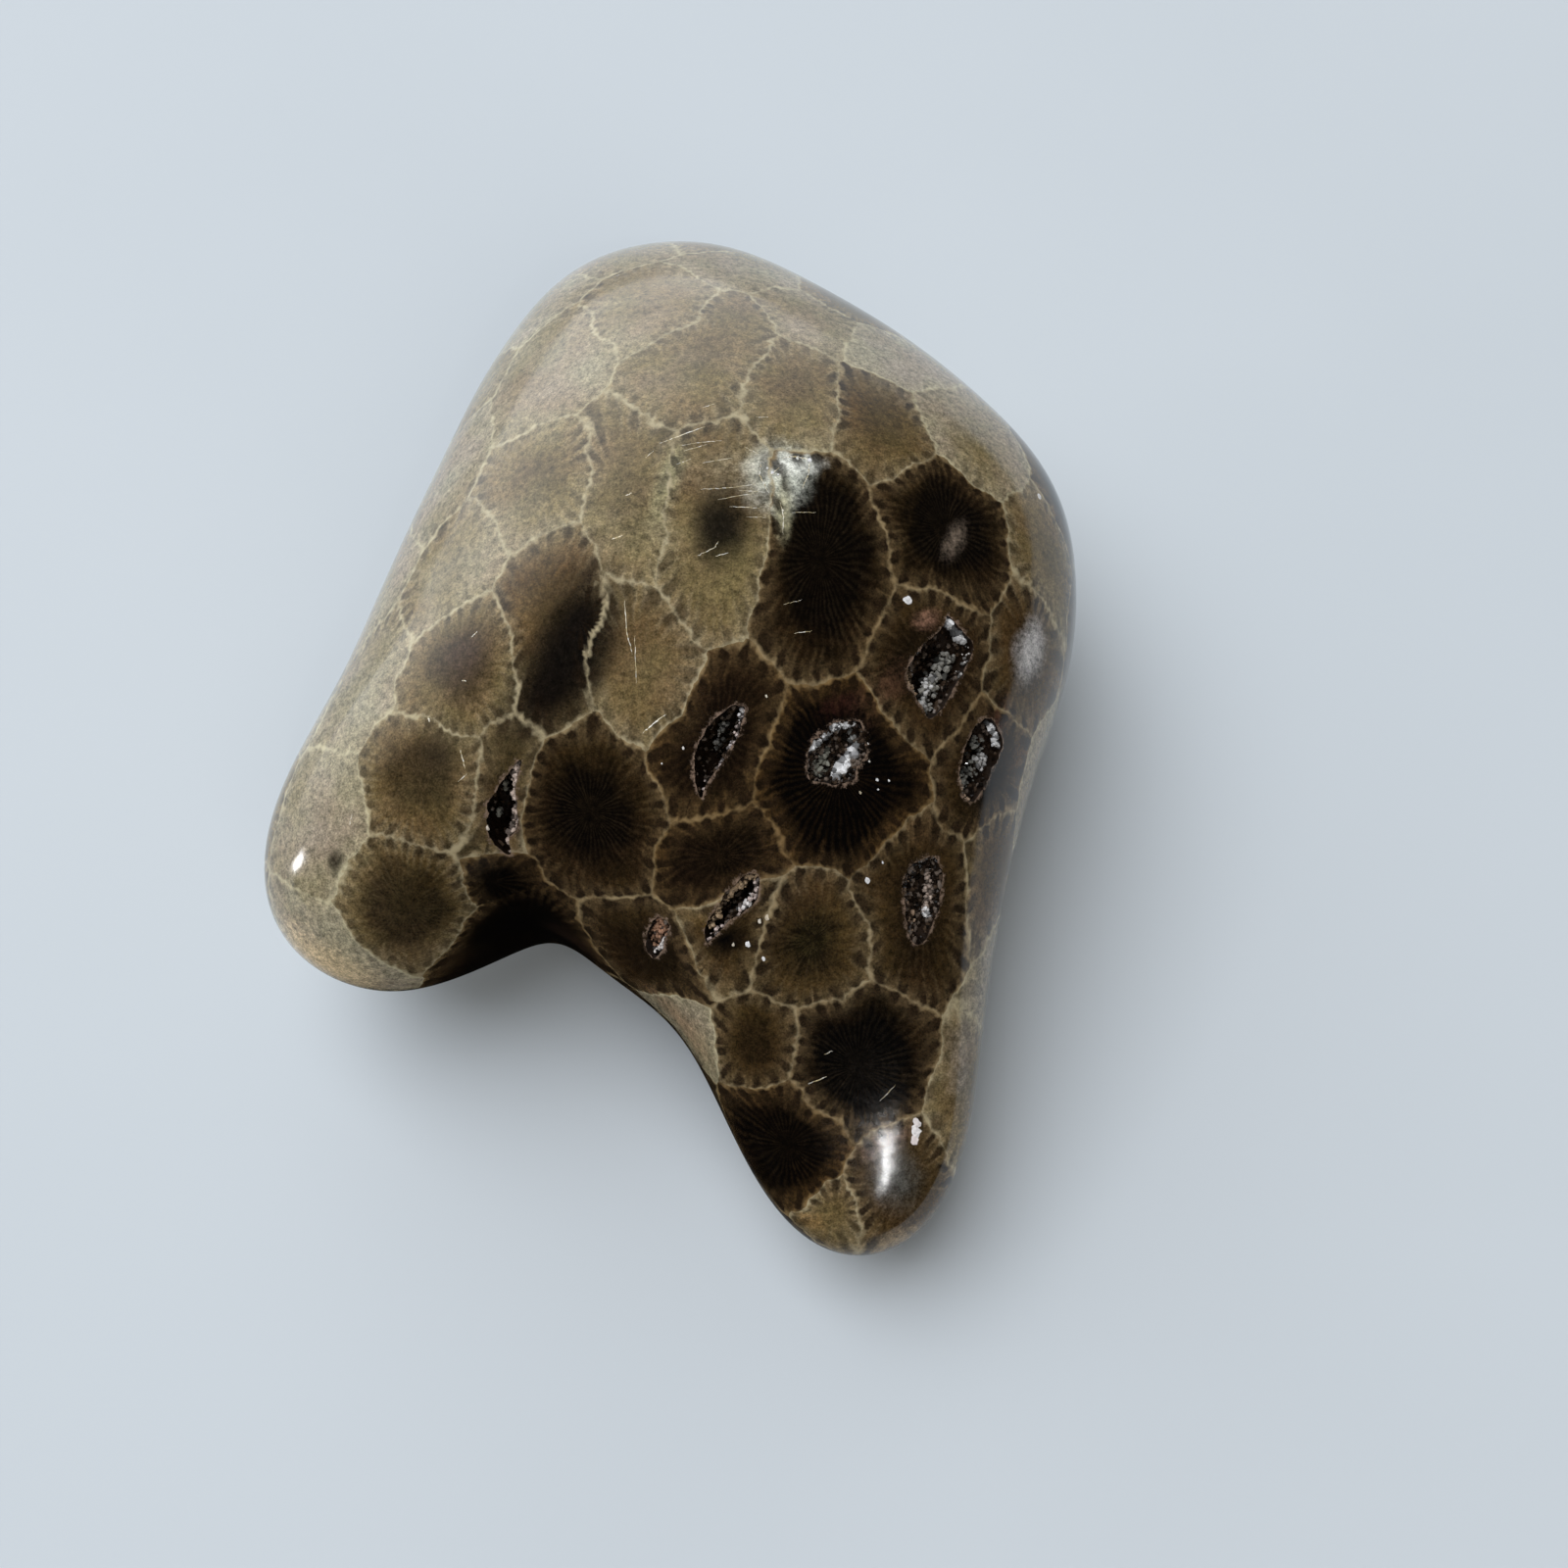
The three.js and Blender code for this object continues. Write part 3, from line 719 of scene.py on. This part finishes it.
def polished_coral_limestone():
    """Fossil coral in limestone, tumbled and polished: a glossy face with a
    soft clear reflection, tan cup walls, brown fringes and black middles."""
    material, add = bare_material("polished_coral_limestone")
    place = add("TexCoord").outputs["Object"]
    spot = add("VectorMath", [place, 1 / MM], operation="SCALE")

    # Walls waver by about 0.3 mm over 2 mm, and by 0.08 mm over half a millimetre.
    bent = spot
    for scale, detail, amount in ((0.45, 1.0, 1.1), (1.7, 2.0, 0.42)):
        waver = add("TexNoise", {"Vector": spot, "Scale": scale, "Detail": detail}).outputs["Color"]
        waver = add("VectorMath", [waver, (0.5, 0.5, 0.5)], **MINUS)
        waver = add("VectorMath", [waver, amount], operation="SCALE")
        bent = add("VectorMath", [bent, waver], operation="ADD")
    own, low, wall_way = nearest_cup(add, bent)
    half, brown, black = add("SeparateXYZ", [own["kind"]]).outputs
    radius = add("Math", [low, half], operation="ADD")
    span = add("Math", [radius, wall_way], operation="ADD")
    outward = add("Math", [radius, span], operation="DIVIDE")

    # Angle round the cup's middle, evened out along a drawn-out cup's walls.
    up = add("NewGeometry").outputs["Normal"]
    along_way = add("VectorMath", [own["drawn"]], operation="NORMALIZE")
    side_way = add("VectorMath", [up, along_way], operation="CROSS_PRODUCT")
    straight = add("VectorMath", [spot, own["middle"]], **MINUS)
    along = add("VectorMath", [straight, along_way], **DOT)
    side = add("VectorMath", [straight, side_way], **DOT)
    bent_square = add("VectorMath", [own["drawn"], own["drawn"]], **DOT)
    squeeze = add("Math", [1.0, bent_square], **MINUS)
    squeeze = add("Math", [squeeze], operation="SQRT")
    along = add("Math", [along, squeeze], **TIMES)
    turn = add("Math", [side, along], operation="ARCTAN2")

    # Partitions: one every 0.42 mm round the half width, each with its own length.
    count = add("Math", [half, 15.0], **TIMES)
    count = add("Math", [count], operation="ROUND")
    waver = add("TexNoise", {"Vector": spot, "Scale": 0.7, "Detail": 3.0})
    part_turn = add("Math", [turn, 2 * pi], operation="DIVIDE")
    many = add("Math", [part_turn, count], **TIMES)
    many = add("Math", [waver, 2.0, many], **TIMES_PLUS)
    wave = add("Math", [many, 0.5], operation="PINGPONG")
    wave = add("Math", [wave, 2.0], **TIMES)
    which = add("Math", [many], operation="FLOOR")
    chance = add("TexWhiteNoise", {"Vector": own["kind"], "W": which}, noise_dimensions="4D")
    grain = add("TexNoise", {"Vector": spot, "Scale": 3.0, "Detail": 4.0, "Roughness": 0.8})
    fine = add("TexNoise", {"Vector": spot, "Scale": 11.0, "Detail": 2.0})
    ragged = add("Math", [grain, 1.3, wave], **TIMES_PLUS)
    ray = add("MapRange", [ragged, 0.80, 1.70], **SOFT_ENDS)
    foot = add("MapRange", [chance, 0.0, 1.0, 0.42, 0.78])
    foot = add("Math", [black, 0.12, foot], **TIMES_PLUS)
    fade = add("Math", [outward, foot], **MINUS)
    fade = add("MapRange", [fade, 0.0, 0.30, 0.10, 1.0], **SOFT_ENDS)
    ray = add("Math", [ray, fade], **TIMES)

    # Ground colour from pale greige to dark brown, mottled.
    patch = add("TexNoise", {"Vector": spot, "Scale": 0.22, "Detail": 3.0})
    shade = add("Math", [patch, 0.5, -0.25], **TIMES_PLUS)
    shade = add("Math", [brown, shade], operation="ADD", use_clamp=True)
    ground = add("ValToRGB", [shade])
    ramp = ground.color_ramp
    ramp.elements[0].color = linear("#9F9681")
    ramp.elements[1].position = 1.0
    ramp.elements[1].color = linear("#1A110A")
    for at, colour in ((0.25, "#81714F"), (0.5, "#5A4627"), (0.75, "#352714")):
        ramp.elements.new(at).color = linear(colour)
    hue = add("TexNoise", {"Vector": spot, "Scale": 0.33, "Detail": 2.0})
    hue = add("MapRange", [hue, 0.35, 0.65], **SOFT_ENDS)
    hue = add("Mix", [hue, (0.98, 1.0, 0.94, 1.0), (1.04, 0.99, 1.03, 1.0)], **COLOURS)
    ground = add("VectorMath", [ground, hue], **TIMES)

    # Black middles, ragged where the partitions run in, each leaning its own way.
    towards = add("VectorMath", [own["from"]], operation="NORMALIZE")
    leaning = add("VectorMath", [towards, own["lean"]], **DOT)
    inward = add("Math", [1.0, outward], **MINUS)
    leaning = add("Math", [leaning, inward], **TIMES)
    leaning = add("Math", [1.0, leaning], **MINUS)
    edge = add("Math", [outward, leaning], **TIMES)
    edge = add("Math", [ray, 0.10, edge], **TIMES_PLUS)
    cloud = add("TexNoise", {"Vector": spot, "Scale": 0.9, "Detail": 4.0, "Roughness": 0.7})
    cloud = add("Math", [cloud, 0.5], **MINUS)
    edge = add("Math", [cloud, 0.55, edge], **TIMES_PLUS)
    edge = add("Math", [edge, own["reach"]], **MINUS)
    dark = add("MapRange", [edge, -0.25, 0.28, 1.0, 0.0], **SOFT_ENDS)
    dark = add("Math", [dark, black], **TIMES)
    body = add("Mix", [dark, ground, linear("#050302")], **COLOURS)

    # Paler stone for about half a millimetre beside the wall, and the rays on it.
    halo = add("MapRange", [wall_way, 0.0, 0.9, 0.28, 0.0], **SOFT_ENDS)
    fringe = add("Mix", [shade, linear("#B2A788"), linear("#6D522E")], **COLOURS)
    body = add("Mix", [halo, body, fringe], **COLOURS)
    lift = add("Math", [chance, 0.36, 0.16], **TIMES_PLUS)
    lift = add("Math", [ray, lift], **TIMES)
    faint = add("MapRange", [patch, 0.38, 0.60, 0.45, 1.25])
    lift = add("Math", [lift, faint], **TIMES)
    body = add("Mix", [lift, body, fringe], **COLOURS)

    # Stains, and the two painted reflections listed with them, cover the ground in blots, never evenly.
    stain_and_reflection = add("Attribute", attribute_name="stain_and_reflection")
    blot = add("Math", [grain, cloud], operation="ADD")
    blot = add("Math", [stain_and_reflection.outputs["Alpha"], blot], operation="ADD")
    blot = add("MapRange", [blot, 0.45, 1.15], **SOFT_ENDS)
    blot = add("Math", [blot, stain_and_reflection.outputs["Alpha"]], **TIMES)
    body = add("Mix", [blot, body, stain_and_reflection.outputs["Color"]], **COLOURS)

    # Dark beads out to half a millimetre from the wall, one to every second gap.
    pair_wave = add("Math", [many, 1.0], operation="PINGPONG")
    pair_wave = add("Math", [grain, 0.5, pair_wave], **TIMES_PLUS)
    gap_mask = add("MapRange", [pair_wave, 0.55, 1.0, 1.0, 0.0], **SOFT_ENDS)
    belt = add("Math", [cloud, -0.6, wall_way], **TIMES_PLUS)
    belt = add("MapRange", [belt, 0.25, 0.80, 1.0, 0.0], **SOFT_ENDS)
    bead = add("Math", [gap_mask, belt], **TIMES)
    here = add("Math", [patch, brown], operation="ADD")
    here = add("MapRange", [here, 0.55, 1.15, 0.16, 0.85])
    bead = add("Math", [bead, here], **TIMES)
    body = add("Mix", [bead, body, linear("#21170D")], **COLOURS)

    # Speckle of crystals 0.1 to 0.3 mm across, in light and in hue.
    speck = add("MapRange", [grain, 0.3, 0.7, 0.42, 1.6])
    speck_2 = add("MapRange", [fine, 0.3, 0.7, 0.68, 1.32])
    speck = add("Math", [speck, speck_2], **TIMES)
    body = add("VectorMath", [body, speck], operation="SCALE")
    body = add("Mix", [0.07, body, grain.outputs["Color"]], **COLOURS, blend_type="SOFT_LIGHT")

    # Tan walls about 0.1 to 0.3 mm thick, toothed by the partitions that end on them.
    thick = add("TexNoise", {"Vector": spot, "Scale": 0.8, "Detail": 3.0})
    tooth = add("Math", [wave, -0.09, wall_way], **TIMES_PLUS)
    tooth = add("Math", [thick, -0.16, tooth], **TIMES_PLUS)
    wall = add("MapRange", [tooth, -0.15, 0.03, 1.0, 0.0], **SOFT_ENDS)
    worn = add("Math", [grain, thick], operation="ADD")
    solid = add("MapRange", [worn, 0.75, 1.20, 0.25, 1.0])
    wall = add("Math", [wall, solid], **TIMES)
    wall_tint = add("Mix", [shade, linear("#CFC5A2"), linear("#8C7149")], **COLOURS)
    body = add("Mix", [wall, body, wall_tint], **COLOURS)

    # Pale quartz line round each hollow.
    to_hollow = add("Attribute", attribute_name="to_hollow").outputs["Fac"]
    ring = add("Math", [grain, 0.9, to_hollow], **TIMES_PLUS)
    ring = add("MapRange", [ring, 0.42, 0.62, 0.75, 0.0], **SOFT_ENDS)
    body = add("Mix", [ring, body, linear("#9A8270")], **COLOURS)

    # The polish ripples very slightly, and the grain shows in it.
    ripple = add("TexNoise", {"Vector": spot, "Scale": 0.7, "Detail": 2.0})
    height = add("Math", [fine, 0.05, ripple], **TIMES_PLUS)
    bump = add("Bump", {"Strength": 0.12, "Distance": 0.00012, "Height": height})
    rough = add("Math", [grain, 0.12, 0.06], **TIMES_PLUS)
    skin = add("BsdfPrincipled", {"Base Color": body, "Roughness": rough, "IOR": 1.56, "Normal": bump})
    add("OutputMaterial", {"Surface": skin})
    return material


def broken_limestone():
    """Unpolished limestone inside the hollows: dull, near black and rough, with
    grains 0.4 mm across."""
    material, add = bare_material("broken_limestone")
    place = add("TexCoord").outputs["Object"]
    grain = add("TexNoise", {"Vector": place, "Scale": 2600.0, "Detail": 4.0})
    tint = add("Mix", [grain, linear("#0A0705"), linear("#2E2117")], **COLOURS)
    bump = add("Bump", {"Strength": 0.8, "Distance": 0.0002, "Height": grain})
    skin = add("BsdfPrincipled", {"Base Color": tint, "Roughness": 0.6, "IOR": 1.56, "Normal": bump})
    add("OutputMaterial", {"Surface": skin})
    return material


def mottled_tint(add, grain, spread):
    """Each face's own tint, made lighter and darker by a fine grain."""
    tint = add("Attribute", attribute_name="tint").outputs["Color"]
    fleck = add("MapRange", [grain, *spread])
    return add("VectorMath", [tint, fleck], operation="SCALE")


def clear_quartz_and_glints():
    """Tiny quartz crystals: glossy facets that flash white, some iron-stained,
    and white-tinted ones that are partly painted glints. A crust this fine scatters
    light, so it is drawn opaque, veiled every 0.2 mm."""
    material, add = bare_material("clear_quartz_and_glints")
    place = add("TexCoord").outputs["Object"]
    veil = add("TexNoise", {"Vector": place, "Scale": 5200.0, "Detail": 2.0})
    tint = mottled_tint(add, veil, (0.3, 0.7, 0.75, 1.15))
    skin = add("BsdfPrincipled", {"Base Color": tint, "Roughness": 0.08, "IOR": 1.54})
    add("OutputMaterial", {"Surface": skin})
    return material


def bruised_calcite_and_glint():
    """Chips and scratches in the polish: powdery white where the stone is
    crushed, with grains 0.2 mm across. One white fleck among them is a painted glint."""
    material, add = bare_material("bruised_calcite_and_glint")
    place = add("TexCoord").outputs["Object"]
    powder = add("TexNoise", {"Vector": place, "Scale": 6000.0, "Detail": 3.0})
    tint = mottled_tint(add, powder, (0.35, 0.65, 0.7, 1.1))
    bump = add("Bump", {"Strength": 0.5, "Distance": 0.00005, "Height": powder})
    skin = add("BsdfPrincipled", {"Base Color": tint, "Roughness": 0.45, "IOR": 1.56, "Normal": bump})
    add("OutputMaterial", {"Surface": skin})
    return material


# ---- building the pieces ---------------------------------

def tinted_object(name, points, faces, tints, material):
    """A flat-shaded piece whose every face carries its own tint."""
    made = mesh_object(name, points, faces, [material])
    made.data.polygons.foreach_set("use_smooth", [False] * len(faces))
    mark(made.data, "tint", "FACE", np.array(tints))
    return made


def close_tip(faces, tints, start, sides, tint):
    """The faces of a small closed shape: two rings of points, then its tip."""
    upper, tip = start + sides, start + 2 * sides
    for k in range(sides):
        n = (k + 1) % sides
        faces += [(start + k, start + n, upper + n, upper + k), (upper + k, upper + n, tip)]
    faces.append(tuple(range(upper - 1, start - 1, -1)))
    tints += [tint] * (2 * sides + 1)


def add_crystal(points, faces, tints, foot, way, thick, long_, tint, rng):
    """One six-sided quartz point, rooted a little below `foot`."""
    one = way.orthogonal().normalized()
    other = way.cross(one)
    twist = rng.uniform(0, pi)
    turns = [twist + k * pi / 3 for k in range(6)]
    outs = [one * cos(turn) + other * sin(turn) for turn in turns]
    close_tip(faces, tints, len(points), 6, tint)
    points += [foot + out * thick - way * thick for out in outs]
    points += [foot + out * thick * 0.94 + way * (long_ - thick) for out in outs]
    points.append(foot + way * long_ + outs[0] * rng.uniform(-0.3, 0.3) * thick)


def grow_quartz_and_glints(tree, lumps, seed=3):
    """Dark crystals over the walls of every hollow, and the bright runs, partly painted glints."""
    rng = random.Random(seed)
    points, faces, tints = [], [], []
    below_rim = 1 + 2 * RIM_POINTS
    for (_, many, _), (walls, _) in zip(HOLLOWS, lumps):
        heart = sum(walls[below_rim - RIM_POINTS:below_rim], Vector()) / RIM_POINTS
        _, normal = on_top(tree, heart.x / MM, heart.y / MM)
        for _ in range(many):
            foot = walls[rng.randrange(below_rim, len(walls))]
            inward = (heart + normal * 0.4 * MM - foot).normalized()
            way = (inward + Vector([rng.uniform(-0.6, 0.6) for _ in range(3)])).normalized()
            thick = rng.uniform(0.05, 0.13) * MM
            grey = rng.choice(["#14100D", "#1E1712", "#2E241C", "#4A3C30", "#6E6258"])
            long_ = thick * rng.uniform(1.2, 2.6)
            add_crystal(points, faces, tints, foot, way, thick, long_, linear(grey), rng)
    for stray, sunk, many, size, colour, run in SEAMS_AND_GLINTS:
        pale = Vector(linear(colour)[:3])
        legs = [dist(a, b) for a, b in zip(run, run[1:])]
        for _ in range(many):
            leg = rng.choices(range(len(legs)), legs)[0]
            t = rng.random()
            x = run[leg][0] * (1 - t) + run[leg + 1][0] * t + rng.gauss(0, stray * 0.7)
            y = run[leg][1] * (1 - t) + run[leg + 1][1] * t + rng.gauss(0, stray * 0.7)
            foot, normal = on_top(tree, x, y)
            foot = foot - normal * (sunk + size * 1.4) * MM
            way = (normal + Vector([rng.uniform(-0.8, 0.8) for _ in range(3)])).normalized()
            thick = size * rng.uniform(0.3, 1.0) * MM
            bright = rng.uniform(0.06, 0.3) if rng.random() < 0.35 else rng.uniform(0.55, 1.0)
            tint = (*(pale * bright), 1.0)
            add_crystal(points, faces, tints, foot, way, thick, thick * rng.uniform(1.2, 2.0), tint, rng)
    return tinted_object("quartz_lining_and_glints", points, faces, tints, clear_quartz_and_glints())


CHIP_SIDES = 11
STEPS = 8              # steps along each leg of a scratch


def mark_polish(tree, seed=5):
    """White chips, one painted glint and hair scratches, standing at most 0.02 mm proud."""
    rng = random.Random(seed)
    points, faces, tints = [], [], []
    for x, y, half, colour in CHIPS_AND_GLINT:
        close_tip(faces, tints, len(points), CHIP_SIDES, linear(colour))
        for ring, height in ((1.0, -0.03), (0.85, 0.015), (0.0, 0.02)):
            for k in range(CHIP_SIDES if ring else 1):
                turn = 2 * pi * k / CHIP_SIDES
                rag = noise.noise(Vector((x + cos(turn), y + sin(turn), 3)))
                out = half * ring * (0.75 + 0.45 * rag)
                out *= rng.uniform(0.85, 1.15) if ring == 1.0 else 1.0
                foot, normal = on_top(tree, x + out * cos(turn), y + out * 1.2 * sin(turn))
                points.append(foot + normal * height * MM)
    for width, run in SCRATCHES:
        line = []
        for (ax, ay), (bx, by) in zip(run, run[1:]):
            line += [(ax + (bx - ax) * t / STEPS, ay + (by - ay) * t / STEPS) for t in range(STEPS)]
        line.append(run[-1])
        start = len(points)
        for i, (x, y) in enumerate(line):
            ahead = line[min(i + 1, len(line) - 1)]
            behind = line[max(i - 1, 0)]
            side = Vector((behind[1] - ahead[1], ahead[0] - behind[0], 0)).normalized()
            taper = sin(pi * (i + 0.6) / (len(line) + 0.2)) ** 0.6 * rng.uniform(0.55, 1.0)
            jog = rng.gauss(0, 0.012)
            for across_by, height in ((-0.5, 0.004), (0.5, 0.004), (0.0, -0.03)):
                off = side * (0.7 * width * taper * across_by + jog)
                foot, normal = on_top(tree, x + off.x, y + off.y)
                points.append(foot + normal * height * MM)
        for i in range(len(line) - 1):
            a = start + 3 * i
            faces += [(a, a + 3, a + 4, a + 1), (a + 1, a + 4, a + 5, a + 2), (a + 2, a + 5, a + 3, a)]
            tints += [linear(rng.choice(["#EADFC2", "#C9B98F", "#FFFBEF"]))] * 3
        last = start + 3 * (len(line) - 1)
        faces += [(start, start + 1, start + 2), (last, last + 2, last + 1)]
        tints += [linear("#E6DCC2")] * 2
    return tinted_object("chips_scratches_and_glint", points, faces, tints, bruised_calcite_and_glint())


def cut_stone():
    """The finished stone: smooth skin, hollows cut out, cups marked on it."""
    points, faces = worked_skin()
    stone = mesh_object("coral_stone", points, faces, [polished_coral_limestone(), broken_limestone()])
    tree = BVHTree.FromPolygons(points.tolist(), faces.tolist())
    stone.data.update()
    rows, owner = cup_table(tree, points, in_rows(stone.data.vertices, "normal"))
    lumps = [hollow_skin(tree, depth, outline) for depth, _, outline in HOLLOWS]
    lump_points, lump_faces = [], []
    for p, f in lumps:
        lump_faces += [tuple(i + len(lump_points) for i in face) for face in f]
        lump_points += p
    cutter = mesh_object("cutter", lump_points, lump_faces, list(stone.data.materials))
    cutter.data.polygons.foreach_set("material_index", [1] * len(cutter.data.polygons))
    cut = stone.modifiers.new("cut", "BOOLEAN")
    cut.operation = "DIFFERENCE"
    cut.solver = "MANIFOLD"
    cut.object = cutter
    done = bpy.data.meshes.new_from_object(stone.evaluated_get(bpy.context.evaluated_depsgraph_get()))
    stone.modifiers.clear()
    stone.data = done
    bpy.data.objects.remove(cutter)
    mark_cups(done, rows, owner)
    mark_hollows(done, tree)
    mark_stains_and_reflections(done, tree)
    done.set_sharp_from_angle(angle=radians(50))
    return stone, tree, lumps


bpy.context.scene.view_settings.view_transform = "Standard"
set_camera()
lay_floor()
lay_black_card()
hang_small_card()
light_the_room()
stone, tree, lumps = cut_stone()
quartz = grow_quartz_and_glints(tree, lumps)
marks = mark_polish(tree)
for piece in (stone, quartz, marks):
    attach(piece, "root")
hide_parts("polished_coral_stone")
